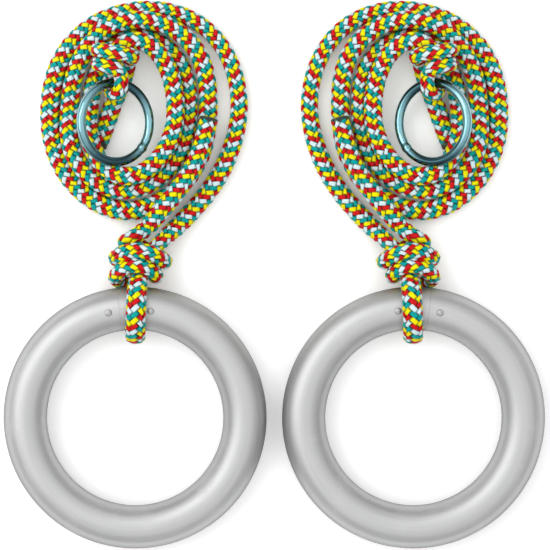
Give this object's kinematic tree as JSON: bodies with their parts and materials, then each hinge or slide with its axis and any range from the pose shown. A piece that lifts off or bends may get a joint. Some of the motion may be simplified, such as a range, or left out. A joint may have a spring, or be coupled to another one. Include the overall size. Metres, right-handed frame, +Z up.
{
  "type": "gymnastics rings",
  "caption": "Pair of plastic tube gymnastics rings, each knotted to a braided rope that lies coiled and ends in a welded steel hanging ring.",
  "frame": {"origin": "on the resting surface, midway between the two hand rings", "axes": "+X from the left ring to the right one, +Y along the ropes away from the hand rings, +Z up from the surface"},
  "size_m": [0.35, 0.3556, 0.0468],
  "materials": {
    "ring_plastic": "satin silver bent tube",
    "plug_plastic": "matt",
    "rivet_steel": "plain",
    "zinc_steel": "bright blue zinc plate",
    "rope_fabric": "braid of red, yellow, teal and white yarns"
  },
  "bodies": {
    "left_rope": {"left_ring_loop": "rope_fabric", "left_ring_knot": "rope_fabric", "left_rope_tail": "rope_fabric", "left_rope_lead": "rope_fabric", "left_rope_coil": "rope_fabric", "left_eye_bend": "rope_fabric", "left_eye_knot": "rope_fabric", "left_eye_loop": "rope_fabric", "left_eye_tail": "rope_fabric"},
    "left_hand_ring": {"left_ring_tube": "ring_plastic", "left_joint_plug": "plug_plastic", "left_rivets": "rivet_steel"},
    "left_steel_ring": {"left_steel_ring": "zinc_steel"},
    "right_rope": {"right_ring_loop": "rope_fabric", "right_ring_knot": "rope_fabric", "right_rope_tail": "rope_fabric", "right_rope_lead": "rope_fabric", "right_rope_coil": "rope_fabric", "right_eye_bend": "rope_fabric", "right_eye_knot": "rope_fabric", "right_eye_loop": "rope_fabric", "right_eye_tail": "rope_fabric"},
    "right_hand_ring": {"right_ring_tube": "ring_plastic", "right_joint_plug": "plug_plastic", "right_rivets": "rivet_steel"},
    "right_steel_ring": {"right_steel_ring": "zinc_steel"}
  },
  "joints": [
    {"name": "left_ring_swing", "type": "hinge", "parent": "left_rope", "child": "left_hand_ring", "pos_m": [-0.09, 0.07084, 0.0234], "axis": [-1, 0, 0], "range_deg": [0, 150]},
    {"name": "left_steel_swing", "type": "hinge", "parent": "left_rope", "child": "left_steel_ring", "pos_m": [-0.1025, 0.21634, 0.025], "axis": [-0.8434, 0, 0.5373], "range_deg": [0, 110]},
    {"name": "pair_spread", "type": "slide", "parent": "left_rope", "child": "right_rope", "axis": [1, 0, 0], "range_m": [0, 0.3]},
    {"name": "right_ring_swing", "type": "hinge", "parent": "right_rope", "child": "right_hand_ring", "pos_m": [0.09, 0.07084, 0.0234], "axis": [-1, 0, 0], "range_deg": [0, 150]},
    {"name": "right_steel_swing", "type": "hinge", "parent": "right_rope", "child": "right_steel_ring", "pos_m": [0.1025, 0.21634, 0.025], "axis": [-0.8434, 0, -0.5373], "range_deg": [0, 110]}
  ]
}
